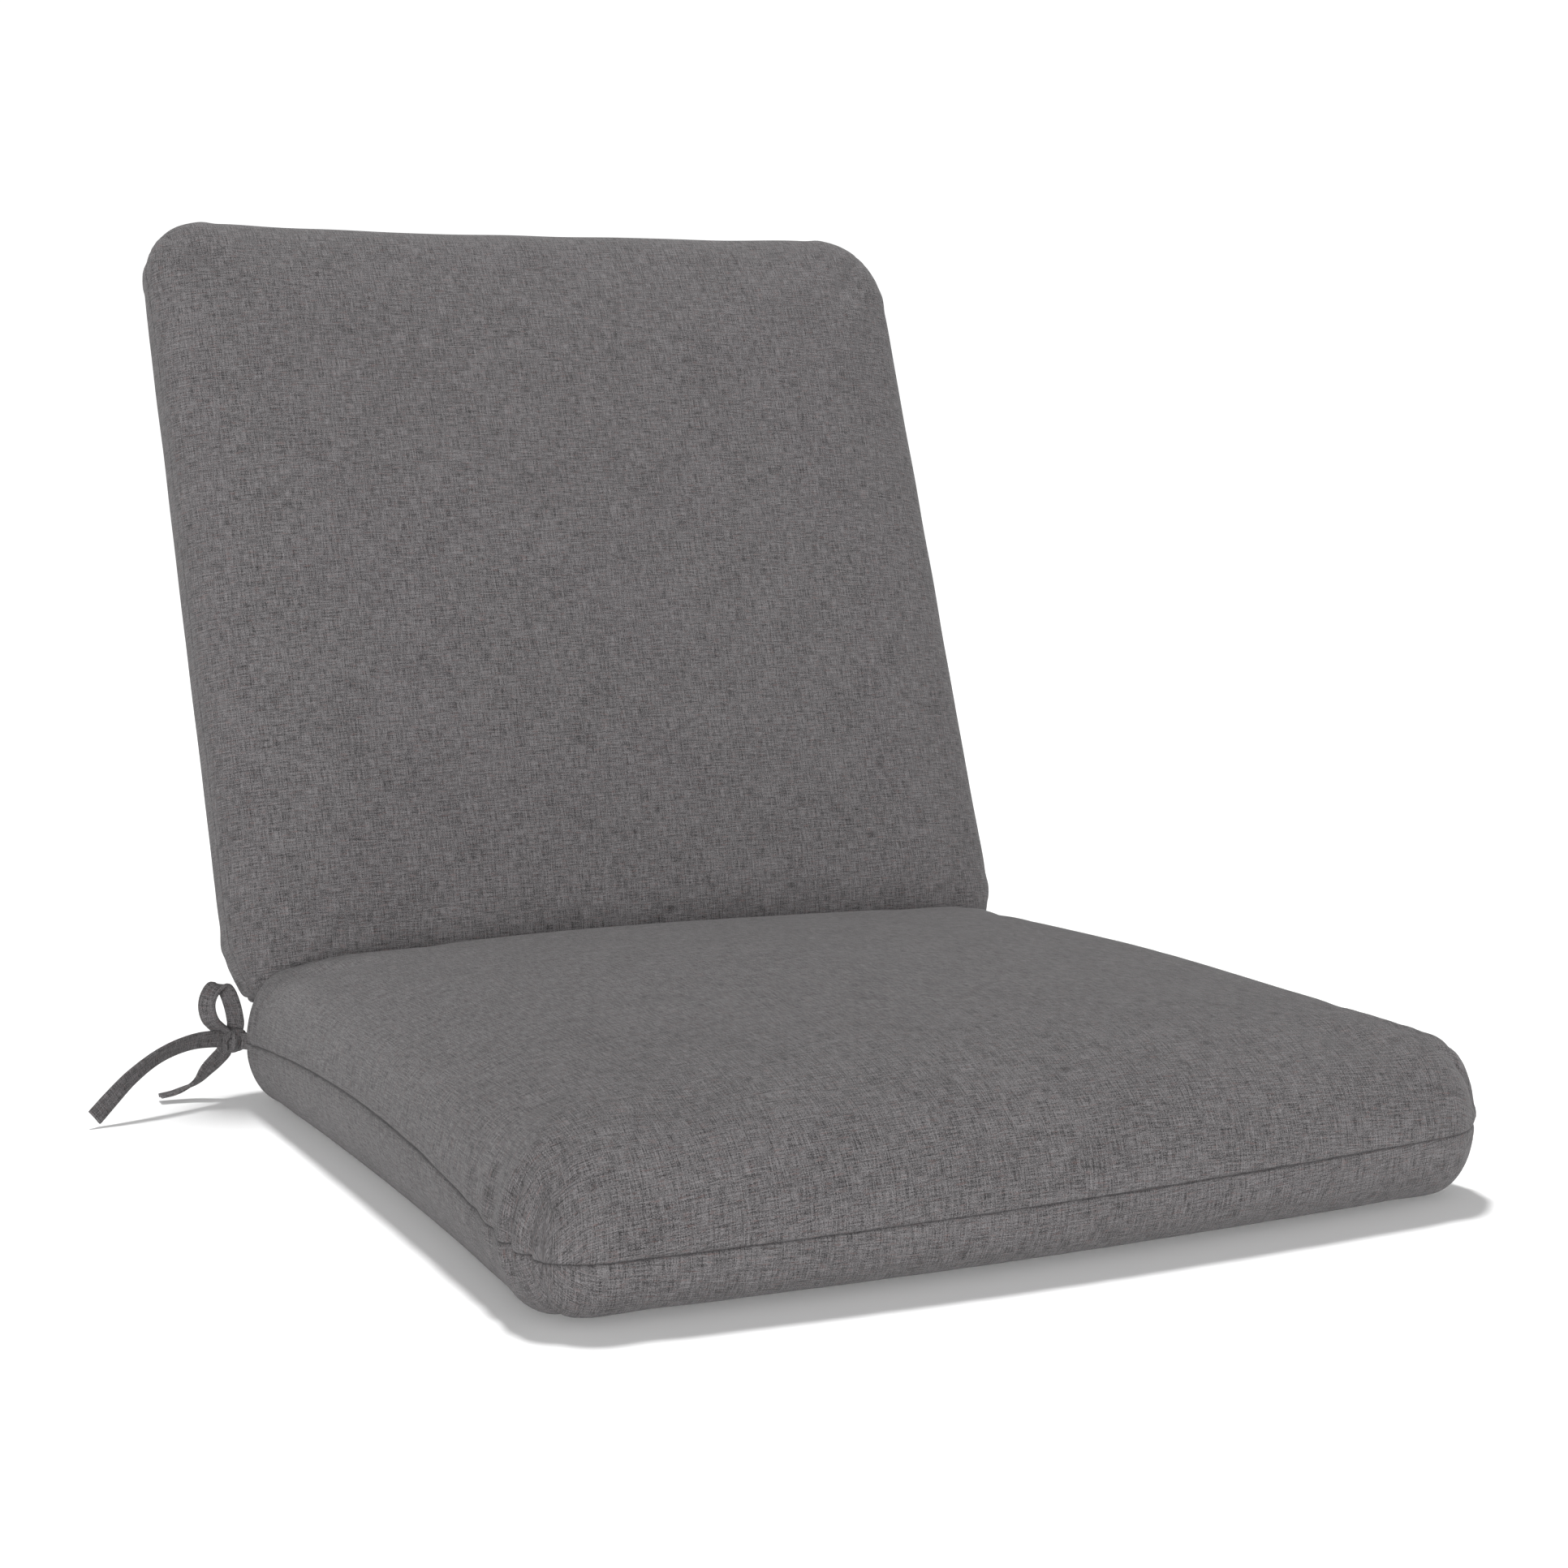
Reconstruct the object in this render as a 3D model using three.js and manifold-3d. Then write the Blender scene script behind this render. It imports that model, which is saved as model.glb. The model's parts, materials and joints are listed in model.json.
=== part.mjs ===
// A hinged outdoor chair cushion: a seat pad and a back pad of the same woven canvas, joined by a
// sewn fabric hinge, with a pair of canvas ties knotted in a bow at each end of the hinge.
// Millimetres, +Z up. The seat pad's flat underside rests in z = 0 with its centre at the origin,
// its front edge faces -Y, and the back pad stands up from its rear edge.

import * as THREE from 'three';
import { mergeVertices } from 'three/addons/utils/BufferGeometryUtils.js';
import Module from 'manifold-3d';

const wasm = await Module();
wasm.setup();

// Pads, measured at their seams
const padWidth = 559;
const seatDepth = 546;
const backLength = 508;
const seatCornerRadius = 38;
const backCornerRadius = 32;

// How far each face stands from the seam, how soon it gets there, and how far its middle crowns
const seatTop = { rise: 50, rounding: 34, crown: 27 };
const seatUnderside = { rise: 35, rounding: 34, crown: 0 };
const backFront = { rise: 29, rounding: 40, crown: 10 };
const backRear = { rise: 22, rounding: 34, crown: 0 };
const edgeFullness = 2.3;

// How far the edges pull in between the corners (negative: they swell out). The hinge ends are straight.
const seatSidePull = 14;
const seatFrontPull = -6;
const backSidePull = 8;
const backTopPull = 3;

// Hinge
const backLean = 20;
const hingeFromSeatEnd = 8;
const hingeAboveSeatSeam = 56;
const backSeamBehindHinge = 22;
const backSeamBelowHinge = 2;
const hingeFoldRadius = 2.5;
const hingeStripThickness = 1.6;
const hingeEndMargin = 46;

// Layers, from the outside in
const coverThickness = 1.2;
const seatWrapThickness = 12;
const backWrapThickness = 7;
const layerGap = 0.8;
const touchGap = 0.3;
const seamBand = 1;

// Ties
const tieWidth = 11;
const tieThickness = 2;
const tieKnot = { width: 17, height: 15, depth: 14, rounding: 4 };
const tieKnotFromCorner = 17;
const bowTurn = 27;

const cellsAcross = 12;
const cellsAlong = 12;
const seatSeamHeight = seatUnderside.rise + seamBand;

const canvas = new THREE.MeshStandardMaterial({ color: 0x706e6f, roughness: 0.93, metalness: 0 });
const tieCanvas = new THREE.MeshStandardMaterial({ color: 0x6a6869, roughness: 0.93, metalness: 0 });
const fibreWrap = new THREE.MeshStandardMaterial({ color: 0xf1efea, roughness: 1, metalness: 0 });
const foam = new THREE.MeshStandardMaterial({ color: 0xe6dcbc, roughness: 0.95, metalness: 0 });

const part = new THREE.Group();

// --- Solids ---------------------------------------------------------------------------------

function weld(geometry) {
  const bare = geometry.clone();
  bare.deleteAttribute('normal');
  bare.deleteAttribute('uv');
  return mergeVertices(bare, 1e-4);
}

function toSolid(geometry) {
  const welded = weld(geometry);
  return new wasm.Manifold(new wasm.Mesh({
    numProp: 3,
    vertProperties: Float32Array.from(welded.attributes.position.array),
    triVerts: Uint32Array.from(welded.index.array),
  }));
}

function toGeometry(solid) {
  const mesh = solid.getMesh();
  const geometry = new THREE.BufferGeometry();
  geometry.setAttribute('position', new THREE.BufferAttribute(mesh.vertProperties, 3));
  geometry.setIndex(new THREE.BufferAttribute(mesh.triVerts, 1));
  geometry.computeVertexNormals();
  return geometry;
}

function addNode(parent, name, geometry, material) {
  const mesh = new THREE.Mesh(geometry, material);
  mesh.name = name;
  parent.add(mesh);
  return mesh;
}

// --- Pads -----------------------------------------------------------------------------------

// How much of its full height a face has reached at a distance from the seam
function fullness(distance, rounding) {
  const share = Math.min(distance / rounding, 1);
  return (1 - (1 - share) ** edgeFullness) ** (1 / edgeFullness);
}

// A pad with its seam in z = 0 and its length along y: two crowned faces that meet at the seam.
// inset is how far the surface lies inside the pad's outer one, for the layers under the cover.
function padGeometry(pad, inset) {
  const box = weld(new THREE.BoxGeometry(2, 2, 2, cellsAcross, cellsAlong, 1));
  const place = box.attributes.position;
  const halfWidth = padWidth / 2 - inset;
  const halfLength = pad.length / 2 - inset;
  const corner = pad.corner - inset;
  for (let i = 0; i < place.count; i += 1) {
    // Cells are narrow near the edges, where the faces are round
    const flatX = Math.sin(place.getX(i) * Math.PI / 2) * halfWidth;
    const flatY = Math.sin(place.getY(i) * Math.PI / 2) * halfLength;
    const fromSeam = Math.min(halfWidth - Math.abs(flatX), halfLength - Math.abs(flatY));
    const intoX = Math.max(Math.abs(flatX) - (halfWidth - corner), 0);
    const intoY = Math.max(Math.abs(flatY) - (halfLength - corner), 0);
    const roundOff = intoX * intoY > 0 ? 1 - Math.max(intoX, intoY) / Math.hypot(intoX, intoY) : 0;
    const alongX = flatX / halfWidth;
    const alongY = flatY / halfLength;
    const pullX = pad.sidePull * (1 - alongY ** 2) * alongX;
    const pullY = alongY * pad.hingeEnd < 0 ? pad.farEndPull * (1 - alongX ** 2) * alongY : 0;
    const x = flatX - Math.sign(flatX) * intoX * roundOff - pullX;
    const y = flatY - Math.sign(flatY) * intoY * roundOff - pullY;
    const face = place.getZ(i) > 0 ? pad.upper : pad.lower;
    const raised = (face.rise - inset) * fullness(fromSeam, face.rounding - inset);
    const crown = face.crown * (1 - alongX ** 2) * (1 - alongY ** 2);
    place.setXYZ(i, x, y, Math.sign(place.getZ(i)) * (seamBand + raised + crown));
  }
  return box;
}

// Everything on one side of the seam plane, short of it by half of the gap between two halves
function halfSpace(side) {
  const reach = 2 * padWidth;
  const block = new THREE.BoxGeometry(reach, reach, reach);
  block.translate(0, 0, side * (reach + touchGap) / 2);
  return toSolid(block);
}

// A layer of the pad between two insets, cut at the seam into its upper and lower halves
function layerHalves(pad, outer, inner) {
  const shell = toSolid(padGeometry(pad, outer)).subtract(toSolid(padGeometry(pad, inner)));
  return [1, -1].map((side) => toGeometry(shell.intersect(halfSpace(side))));
}

function addPad(group, pad, names) {
  const wrapOuter = coverThickness + layerGap;
  const wrapInner = wrapOuter + pad.wrapThickness;
  const covers = layerHalves(pad, 0, coverThickness);
  const wraps = layerHalves(pad, wrapOuter, wrapInner);
  addNode(group, names.upperCover, covers[0], canvas);
  addNode(group, names.lowerCover, covers[1], canvas);
  addNode(group, names.upperWrap, wraps[0], fibreWrap);
  addNode(group, names.lowerWrap, wraps[1], fibreWrap);
  addNode(group, names.foam, padGeometry(pad, wrapInner + layerGap), foam);
}

const seatPad = {
  length: seatDepth,
  corner: seatCornerRadius,
  upper: seatTop,
  lower: seatUnderside,
  sidePull: seatSidePull,
  hingeEnd: 1,
  farEndPull: seatFrontPull,
  wrapThickness: seatWrapThickness,
};

const backPad = {
  length: backLength,
  corner: backCornerRadius,
  upper: backFront,
  lower: backRear,
  sidePull: backSidePull,
  hingeEnd: -1,
  farEndPull: backTopPull,
  wrapThickness: backWrapThickness,
};

const seatGroup = new THREE.Group();
seatGroup.position.z = seatSeamHeight;
part.add(seatGroup);
addPad(seatGroup, seatPad, {
  upperCover: 'seat_cover_top',
  lowerCover: 'seat_cover_bottom',
  upperWrap: 'seat_fibre_wrap_top',
  lowerWrap: 'seat_fibre_wrap_bottom',
  foam: 'seat_foam_core',
});

// The hinge line runs along x. The back pad's lower seam lies a little behind and below it.
const hingeY = seatDepth / 2 - hingeFromSeatEnd;
const hingeZ = seatSeamHeight + hingeAboveSeatSeam;
const lean = THREE.MathUtils.degToRad(backLean);
const backGroup = new THREE.Group();
backGroup.position.set(
  0,
  hingeY + backSeamBehindHinge + Math.sin(lean) * backLength / 2,
  hingeZ - backSeamBelowHinge + Math.cos(lean) * backLength / 2,
);
backGroup.rotation.x = Math.PI / 2 - lean;
part.add(backGroup);
addPad(backGroup, backPad, {
  upperCover: 'back_cover_front',
  lowerCover: 'back_cover_rear',
  upperWrap: 'back_fibre_wrap_front',
  lowerWrap: 'back_fibre_wrap_rear',
  foam: 'back_foam_core',
});
part.updateMatrixWorld(true);

// --- Fabric hinge ---------------------------------------------------------------------------

const hingeLength = padWidth - 2 * hingeEndMargin;

// The fold itself, sewn into a bead that turns on the hinge line
const fold = new THREE.CylinderGeometry(hingeFoldRadius, hingeFoldRadius, hingeLength, 12);
fold.rotateZ(Math.PI / 2);
addNode(part, 'hinge_fold', fold, canvas).position.set(0, hingeY, hingeZ);

// A strip of cover fabric from the fold into a pad, ending just short of the pad's surface
function hingeStrip(pad, group, towardsY, towardsZ) {
  const reach = Math.hypot(towardsY, towardsZ);
  const start = hingeFoldRadius + touchGap;
  const strip = new THREE.BoxGeometry(hingeLength, reach - start, hingeStripThickness);
  strip.translate(0, (reach + start) / 2, 0);
  strip.rotateX(Math.atan2(towardsZ, towardsY));
  strip.translate(0, hingeY, hingeZ);
  const cutter = padGeometry(pad, -touchGap);
  cutter.applyMatrix4(group.matrixWorld);
  return toGeometry(toSolid(strip).subtract(toSolid(cutter)));
}

addNode(part, 'hinge_strip_seat', hingeStrip(seatPad, seatGroup, -24, -19), canvas);
addNode(part, 'hinge_strip_back', hingeStrip(backPad, backGroup, 27, 11), canvas);

// --- Ties -----------------------------------------------------------------------------------

// Points of each strap's middle line as [x, z] from the knot's centre, with x pointing outwards
const longTailLine = [[11.5, 2.5], [28, 4], [45, 2.5], [62, -2], [80, -10.5], [95, -20.5], [108, -30]];
const shortTailLine = [[6, -8.3], [11, -13], [16, -17.5], [21.5, -23.5], [27, -27], [37, -30.6], [46, -32]];
const loopLine = [
  [-3.7, 8.9], [-3.4, 14], [-1.5, 22], [2.2, 31], [7, 36.2], [13, 35.8], [17.8, 30.5], [19.2, 23.5],
  [16.6, 15.5], [10, 8.9],
];

// A strip of even width along a line, as a flat outline in x and z
function stripOutline(line, halfWidth) {
  const curve = new THREE.CatmullRomCurve3(line.map(([x, z]) => new THREE.Vector3(x, z, 0)));
  const steps = 3 * (line.length - 1);
  const near = [];
  const far = [];
  for (let i = 0; i <= steps; i += 1) {
    const point = curve.getPoint(i / steps);
    const tangent = curve.getTangent(i / steps);
    const offset = new THREE.Vector2(-tangent.y, tangent.x).multiplyScalar(halfWidth);
    near.push(new THREE.Vector2(point.x + offset.x, point.y + offset.y));
    far.unshift(new THREE.Vector2(point.x - offset.x, point.y - offset.y));
  }
  return new THREE.Shape([...near, ...far]);
}

// The outline lies in x and z, and the strip is as deep as stated along y, centred on y = 0.
// side is 1 for a strap that runs towards +X and -1 for its mirror image.
function strap(line, side, widthInPlane, depth) {
  const outline = stripOutline(line.map(([x, z]) => [side * x, z]), widthInPlane / 2);
  const geometry = new THREE.ExtrudeGeometry(outline, { depth, bevelEnabled: false });
  geometry.translate(0, 0, -depth / 2);
  geometry.rotateX(Math.PI / 2);
  return geometry;
}

function knotGeometry() {
  const { width, height, depth, rounding } = tieKnot;
  const halfX = width / 2 - rounding;
  const halfZ = height / 2 - rounding;
  const outline = new THREE.Shape();
  outline.absarc(halfX, halfZ, rounding, 0, Math.PI / 2);
  outline.absarc(-halfX, halfZ, rounding, Math.PI / 2, Math.PI);
  outline.absarc(-halfX, -halfZ, rounding, Math.PI, Math.PI * 1.5);
  outline.absarc(halfX, -halfZ, rounding, Math.PI * 1.5, Math.PI * 2);
  const geometry = new THREE.ExtrudeGeometry(outline, {
    depth: depth - rounding,
    curveSegments: 3,
    bevelSize: rounding / 2,
    bevelOffset: -rounding / 2,
    bevelThickness: rounding / 2,
    bevelSegments: 1,
  });
  geometry.translate(0, 0, -(depth - rounding) / 2);
  geometry.rotateX(Math.PI / 2);
  return geometry;
}

// One bow: two straps sewn into the seat's rear corner, knotted, with one loop and two free tails
function addTie(side, prefix) {
  const diagonal = tieKnotFromCorner * Math.SQRT1_2;
  const cornerInset = seatCornerRadius * (1 - Math.SQRT1_2);
  const knotX = side * (padWidth / 2 - cornerInset + diagonal);
  const knotY = seatDepth / 2 - cornerInset + diagonal;
  const tie = new THREE.Group();
  tie.position.set(knotX, knotY, seatSeamHeight);
  part.add(tie);
  addNode(tie, `${prefix}_tie_knot`, knotGeometry(), tieCanvas);
  // The loop and the long tail swing a little towards the front
  const turn = -side * THREE.MathUtils.degToRad(bowTurn);
  const loop = strap(loopLine, side, tieThickness, tieWidth).rotateZ(turn);
  addNode(tie, `${prefix}_tie_loop`, loop, tieCanvas);
  const longTail = strap(longTailLine, side, tieWidth, tieThickness).rotateZ(turn);
  addNode(tie, `${prefix}_tie_long_tail`, longTail, tieCanvas);
  addNode(tie, `${prefix}_tie_short_tail`, strap(shortTailLine, side, tieThickness, tieWidth), tieCanvas);

  // Both straps leave the corner seam together, flat on each other, and end just short of the knot
  const root = new THREE.BoxGeometry(2 * tieKnotFromCorner, 2 * tieThickness, tieWidth);
  root.rotateZ(side * Math.PI / 4);
  root.translate(-side * diagonal, -diagonal, 0);
  const nearKnot = knotGeometry();
  nearKnot.scale(
    1 + 2 * touchGap / tieKnot.width,
    1 + 2 * touchGap / tieKnot.depth,
    1 + 2 * touchGap / tieKnot.height,
  );
  const nearPad = padGeometry(seatPad, -touchGap);
  nearPad.translate(-knotX, -knotY, 0);
  const rootSolid = toSolid(root).subtract(toSolid(nearPad)).subtract(toSolid(nearKnot));
  addNode(tie, `${prefix}_tie_root`, toGeometry(rootSolid), tieCanvas);
}

addTie(-1, 'left');
addTie(1, 'right');

export default part;
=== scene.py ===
import json
import math
import bpy
import bmesh
import numpy as np
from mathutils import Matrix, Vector


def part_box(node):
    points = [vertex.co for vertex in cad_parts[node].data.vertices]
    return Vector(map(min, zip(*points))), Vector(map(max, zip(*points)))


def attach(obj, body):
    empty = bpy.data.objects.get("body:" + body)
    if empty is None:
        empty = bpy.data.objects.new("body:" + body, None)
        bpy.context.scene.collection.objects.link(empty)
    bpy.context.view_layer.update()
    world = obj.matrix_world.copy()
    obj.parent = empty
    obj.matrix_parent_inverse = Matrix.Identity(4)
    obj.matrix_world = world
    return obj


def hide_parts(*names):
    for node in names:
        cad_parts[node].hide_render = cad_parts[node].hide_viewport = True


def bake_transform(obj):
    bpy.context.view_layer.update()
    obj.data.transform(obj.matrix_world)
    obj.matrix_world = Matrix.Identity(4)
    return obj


# Grey canvas chair cushion: a seat pad and a back pad on a sewn fabric hinge, with a tied bow at each side.
# Metres, +Z up, front towards -Y, the seat's underside in z = 0.

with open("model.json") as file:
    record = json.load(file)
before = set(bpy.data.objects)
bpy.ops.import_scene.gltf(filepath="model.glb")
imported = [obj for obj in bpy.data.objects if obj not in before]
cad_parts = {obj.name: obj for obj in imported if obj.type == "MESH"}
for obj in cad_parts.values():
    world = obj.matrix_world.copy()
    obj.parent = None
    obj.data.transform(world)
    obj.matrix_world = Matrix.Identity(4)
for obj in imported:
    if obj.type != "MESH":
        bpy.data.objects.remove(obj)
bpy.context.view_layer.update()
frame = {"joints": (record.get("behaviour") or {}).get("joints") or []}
scene = bpy.context.scene
hingeJoint = next(j for j in frame["joints"] if j["name"] == "back_fold")
hingePoint = Vector(hingeJoint["pos_m"])
print("frame loaded, hinge at", tuple(round(v, 4) for v in hingePoint))


# camera, floor and light

cameraSetup = dict(azimuth=-25.73, elevation=6.19, aim=(-0.0064, 0.0285, 0.2116), distance=1.528, lens=59.2,
                   farthest=50)
studio = dict(
    floorSize=12.0, floorColour=(0.98, 0.98, 0.98), floorRoughness=0.9, floorShine=0.1,
    horizonLight=1.08, skyLight=0.24, skyFrom=0.22, skyTo=0.36,  # the sky dims between these heights
    keyFrom=(0.08, 0.42, 1.0), keyPower=2.75, keySoftness=9,  # overhead, slightly from behind
    frontFrom=(-0.42, -1.0, 0.17), frontPower=3.9, frontSoftness=24,
)


def makeCamera():
    azimuth, elevation = math.radians(cameraSetup["azimuth"]), math.radians(cameraSetup["elevation"])
    aim = Vector(cameraSetup["aim"])
    towards = Vector((math.sin(azimuth) * math.cos(elevation), -math.cos(azimuth) * math.cos(elevation),
                      math.sin(elevation)))
    data = bpy.data.cameras.new("camera")
    data.lens = cameraSetup["lens"]
    data.clip_end = cameraSetup["farthest"]
    camera = bpy.data.objects.new("camera", data)
    camera.location = aim + towards * cameraSetup["distance"]
    camera.rotation_euler = (-towards).to_track_quat("-Z", "Y").to_euler()
    scene.collection.objects.link(camera)
    scene.camera = camera


makeCamera()


# shader maths

class Wire:
    # a socket in a shader tree that can be used in sums
    def __init__(self, tree, socket=None):
        self.tree = tree
        self.socket = socket

    def make(self, kind, settings=None, inputs=None, out=0):
        node = self.tree.nodes.new(kind)
        for name, value in (settings or {}).items():
            if name == "stops":
                ramp = node.color_ramp
                while len(ramp.elements) < len(value):
                    ramp.elements.new(0.5)
                for element, (position, colour) in zip(ramp.elements, value):
                    element.position = position
                    element.color = (*colour, 1)
            else:
                setattr(node, name, value)
        for name, value in (inputs or {}).items():
            if isinstance(value, Wire):
                self.tree.links.new(value.socket, node.inputs[name])
            else:
                node.inputs[name].default_value = value
        return Wire(self.tree, node.outputs[out])

    def sum(self, operation, a, b):
        return self.make("ShaderNodeMath", {"operation": operation}, {0: a, 1: b})

    def __add__(self, other):
        return self.sum("ADD", self, other)

    def __sub__(self, other):
        return self.sum("SUBTRACT", self, other)

    def __rsub__(self, other):
        return self.sum("SUBTRACT", other, self)

    def __mul__(self, other):
        return self.sum("MULTIPLY", self, other)

    __radd__ = __add__
    __rmul__ = __mul__

    def spread(self, low, high):  # 0 at low, 1 at high
        return self.make("ShaderNodeMapRange", {"clamp": True},
                         {"Value": self, "From Min": low, "From Max": high})

    def noise(self, scale, detail=2.0, roughness=0.5):
        return self.make("ShaderNodeTexNoise", {"noise_dimensions": "3D"},
                         {"Vector": self, "Scale": scale, "Detail": detail, "Roughness": roughness})

    def stretched(self, x, y, z=1.0):
        return self.make("ShaderNodeMapping", None, {"Vector": self, "Scale": (x, y, z)})

    def sine(self):
        return self.make("ShaderNodeMath", {"operation": "SINE"}, {0: self})

    def parts(self):  # x, y and z
        split = self.make("ShaderNodeSeparateXYZ", None, {0: self}).socket.node
        return [Wire(self.tree, output) for output in split.outputs]

    def mix(self, a, b):  # colours a and b, mixed by this value
        return self.make("ShaderNodeMix", {"data_type": "RGBA"}, {0: self, 6: a, 7: b}, out=2)


clothShine = 0.25


def newMaterial(name, roughness, sheen=0.0):
    material = bpy.data.materials.new(name)
    material.use_nodes = True
    surface = material.node_tree.nodes["Principled BSDF"]
    surface.inputs["Roughness"].default_value = roughness
    surface.inputs["Sheen Weight"].default_value = sheen
    surface.inputs["Specular IOR Level"].default_value = clothShine
    return material, Wire(material.node_tree), surface


def plug(wire, surface, name):
    wire.tree.links.new(wire.socket, surface.inputs[name])


canvas = dict(
    light=(0.149, 0.1415, 0.1445), dark=(0.0165, 0.0155, 0.016), warm=(0.112, 0.074, 0.070),
    # colour and strength of the painted shade along every seam, where its groove lies in shade
    seamShadeColour=(0.014, 0.013, 0.014), seamShadeStrength=0.8,
    yarn=0.00066, slub=0.0085,  # how thick a yarn is, and how long its tone lasts
    weave=0.0013, relief=0.00035, roughness=0.92, sheen=0.06,
    fleckShare=2.5, yarnShare=1.1, longShare=0.45, cloudShare=0.2, cloudScale=24, warmShare=0.45,
)


def canvasMaterial(name, shade=1.0, byPlace=False):
    # plain weave of light and dark yarns: every yarn has its own tone along its length, with fine flecks;
    # it lies on the cloth's own map, or byPlace on a lump that has none
    material, wire, surface = newMaterial(name, canvas["roughness"], canvas["sheen"])
    if byPlace:
        cloth = wire.make("ShaderNodeTexCoord", None, None, out=3)
    else:
        cloth = wire.make("ShaderNodeUVMap", {"uv_map": "cloth"})
    yarn, slub = 1 / canvas["yarn"], 1 / canvas["slub"]
    fleck = cloth.stretched(yarn, yarn, yarn).noise(1.0, 2.0, 0.7)
    warp = cloth.stretched(yarn, slub, slub).noise(1.0, 1.0, 0.5)
    weft = cloth.stretched(slub, yarn, slub).noise(1.0, 1.0, 0.5)
    longWarp = cloth.stretched(yarn * 0.55, slub * 0.33, slub).noise(1.0, 1.0, 0.5)
    longWeft = cloth.stretched(slub * 0.33, yarn * 0.55, slub).noise(1.0, 1.0, 0.5)
    cloud = cloth.stretched(*(canvas["cloudScale"],) * 3).noise(1.0, 2.0, 0.5)
    shares = ((fleck, canvas["fleckShare"]), (warp, canvas["yarnShare"]), (weft, canvas["yarnShare"]),
              (longWarp, canvas["longShare"]), (longWeft, canvas["longShare"]), (cloud, canvas["cloudShare"]))
    tone = sum(part * share for part, share in shares) - (sum(share for _, share in shares) / 2 - 0.5)
    tone = tone.spread(0, 1)
    # a shade below 1 darkens the whole copy of the canvas: painted shade
    dark, light, warm = ((*(c * shade for c in canvas[key]), 1) for key in ("dark", "light", "warm"))
    rust = cloth.stretched(slub * 1.2, yarn * 0.6, slub).noise(1.0, 2.0, 0.6).spread(0.58, 0.68)
    # painted shade: the canvas colour goes dark along every seam, standing in for the shade in its groove
    seamShadeMask = wire.make("ShaderNodeAttribute", {"attribute_name": "seamShade"}, out=2)
    colour = (rust * canvas["warmShare"]).mix(tone.mix(dark, light), warm)
    seamShadeColour = (*canvas["seamShadeColour"], 1)
    plug((seamShadeMask * canvas["seamShadeStrength"]).mix(colour, seamShadeColour), surface, "Base Color")
    crossing = cloth.stretched(*(2 * math.pi / canvas["weave"],) * 3).parts()
    weaveHeight = crossing[0].sine() * crossing[1].sine()
    height = weaveHeight * 0.5 + fleck * 1.2 + (warp + weft) * 0.6
    bump = {"Strength": 0.5, "Distance": canvas["relief"], "Height": height}
    plug(wire.make("ShaderNodeBump", None, bump), surface, "Normal")
    return material


def plainMaterial(name, colour, roughness, scale, contrast):
    # hidden fillings: a mottled colour with a fine surface
    material, wire, surface = newMaterial(name, roughness)
    place = wire.make("ShaderNodeTexCoord", None, None, out=3)
    mottle = place.noise(scale, 3.0, 0.6)
    low = tuple(c * (1 - contrast) for c in colour) + (1,)
    plug(mottle.mix(low, (*colour, 1)), surface, "Base Color")
    plug(wire.make("ShaderNodeBump", None, {"Strength": 0.4, "Distance": 0.001, "Height": mottle}),
         surface, "Normal")
    return material


padCanvas = canvasMaterial("padCanvas")
# the ties and the knot are the same canvas made darker: painted shade
tieCanvas = canvasMaterial("tieCanvas", shade=0.86)
knotCanvas = canvasMaterial("knotCanvas", shade=0.86, byPlace=True)
# the hinge is the same canvas made darker: painted shade for the crease between the pads
hingeCanvas = canvasMaterial("hingeCanvas", shade=0.9)
foamMaterial = plainMaterial("foam", (0.86, 0.78, 0.56), 0.95, 900.0, 0.15)
wrapMaterial = plainMaterial("fibreWrap", (0.90, 0.89, 0.86), 1.0, 300.0, 0.08)
threadMaterial = plainMaterial("thread", (0.16, 0.155, 0.158), 0.7, 2500.0, 0.3)
print("materials made")


# small mesh helpers

def meshObject(name, points, faces, material):
    mesh = bpy.data.meshes.new(name)
    mesh.from_pydata([tuple(p) for p in points], [], [tuple(int(i) for i in f) for f in faces])
    mesh.polygons.foreach_set("use_smooth", [True] * len(mesh.polygons))
    mesh.materials.append(material)
    made = bpy.data.objects.new(name, mesh)
    scene.collection.objects.link(made)
    return made


def loopVertices(mesh):
    corner = np.empty(len(mesh.loops), dtype=np.int64)
    mesh.loops.foreach_get("vertex_index", corner)
    return corner


def setCloth(mesh, uv):  # where the weave lies, in metres, one pair for each face corner
    mesh.uv_layers.new(name="cloth").data.foreach_set("uv", np.asarray(uv, np.float32).ravel())


def setSeamShade(mesh, values):
    shade = mesh.attributes.new("seamShade", "FLOAT", "POINT")
    shade.data.foreach_set("value", np.asarray(values, np.float32))


def bakeModifiers(made, name):
    # the evaluated shape as a plain mesh, with nothing live left on it
    evaluated = made.evaluated_get(bpy.context.evaluated_depsgraph_get())
    mesh = bpy.data.meshes.new_from_object(evaluated)
    mesh.name = name
    made.modifiers.clear()
    old = made.data
    made.data = mesh
    made.name = name
    if old.users == 0 and isinstance(old, bpy.types.Mesh):
        bpy.data.meshes.remove(old)
    return made


def smoothStep(value):
    value = np.clip(value, 0, 1)
    return value * value * (3 - 2 * value)


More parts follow.
